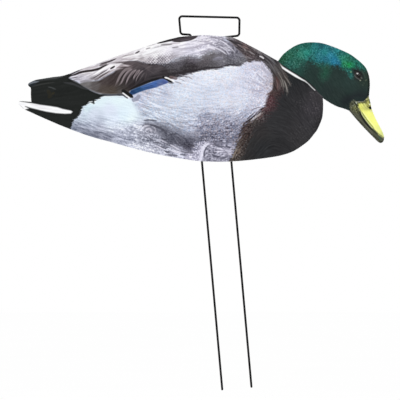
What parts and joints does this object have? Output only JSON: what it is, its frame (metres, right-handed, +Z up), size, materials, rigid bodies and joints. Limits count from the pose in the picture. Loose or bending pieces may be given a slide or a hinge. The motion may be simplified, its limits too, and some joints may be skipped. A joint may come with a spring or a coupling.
{
  "type": "silhouette duck decoy",
  "caption": "Flat two-sided feeding drake silhouette of fluted plastic that slides on a bent-wire ground stake with a loop handle.",
  "frame": {"origin": "midway between the two leg tips of the wire stake, on the panel's mid-plane", "axes": "+X the way the bird faces, +Z up, +Y towards the bird's left face; the panel lies in the XZ plane"},
  "size_m": [0.5483, 0.0042, 0.5627],
  "materials": {
    "fluted_plastic": "white translucent fluted sheet, satin",
    "right_print": "matte picture of a drake's plumage",
    "left_print": "matte picture of a drake's plumage",
    "black_wire": "black painted steel, semi-matte"
  },
  "bodies": {
    "stake": {"wire_stake": "black_wire"},
    "panel": {"fluted_panel": "fluted_plastic", "right_print_film": "right_print", "left_print_film": "left_print"}
  },
  "joints": [
    {"name": "panel_slide", "type": "slide", "parent": "stake", "child": "panel", "axis": [0.0889, 0, -0.996], "range_m": [0, 0.54]}
  ]
}
